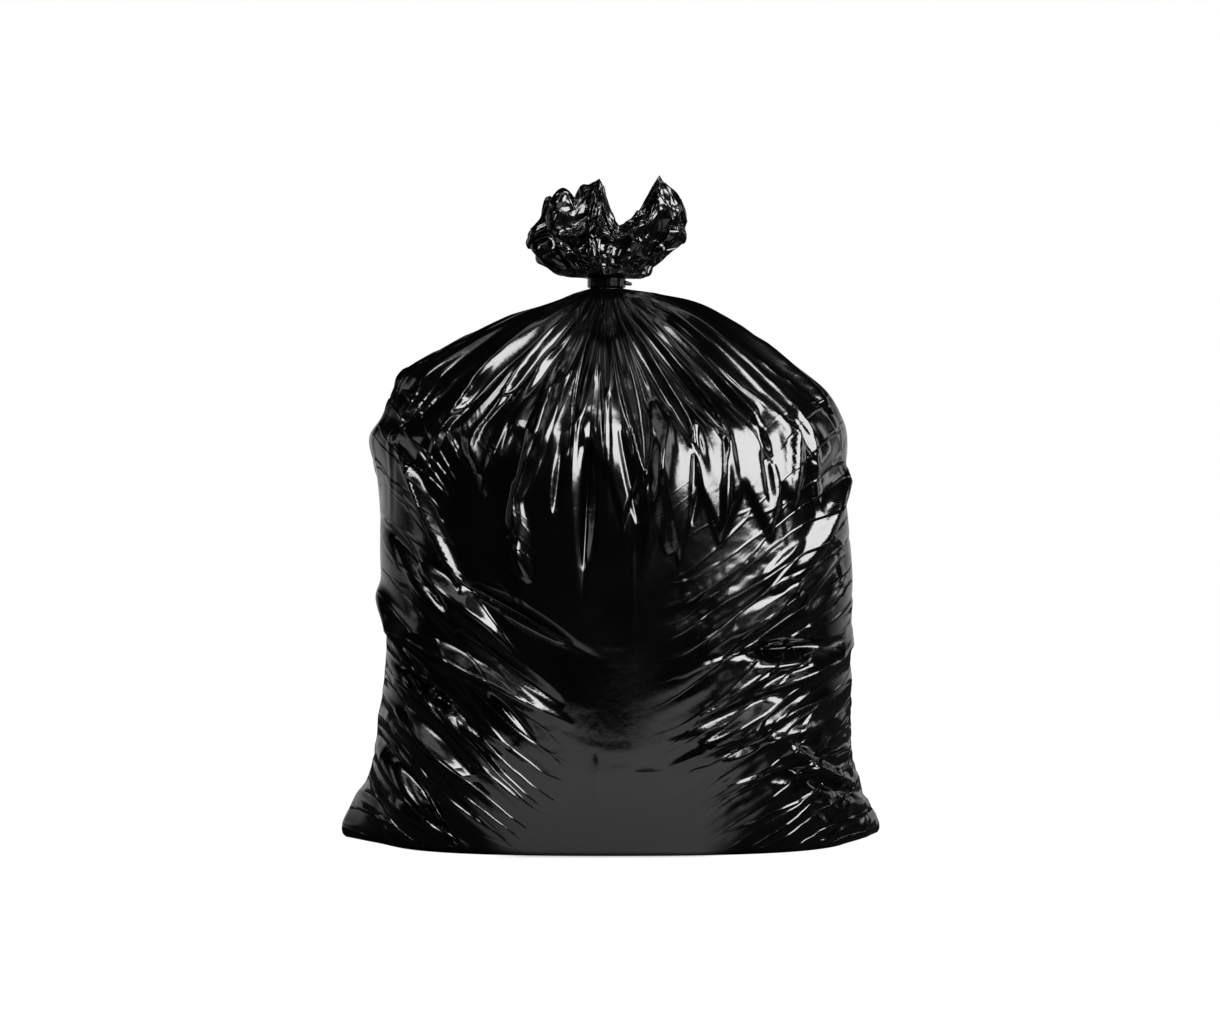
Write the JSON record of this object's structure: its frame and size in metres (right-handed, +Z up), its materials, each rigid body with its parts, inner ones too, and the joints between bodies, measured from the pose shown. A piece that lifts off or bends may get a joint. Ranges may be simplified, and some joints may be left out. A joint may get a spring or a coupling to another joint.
{
  "type": "full bin bag",
  "caption": "Full, tied refuse sack of glossy black film that stands on its flat bottom, with a gathered neck and a ruffled topknot.",
  "frame": {"origin": "middle of the bounding box's bottom, on the resting face", "axes": "+Z up along the neck, +X to the right across the wide side, the front faces -Y"},
  "size_m": [0.5944, 0.368, 0.7283],
  "materials": {
    "film": "glossy thin film",
    "tie": "glossy"
  },
  "bodies": {
    "root": {"bin_bag": "film", "neck_tie": "tie"}
  },
  "joints": []
}
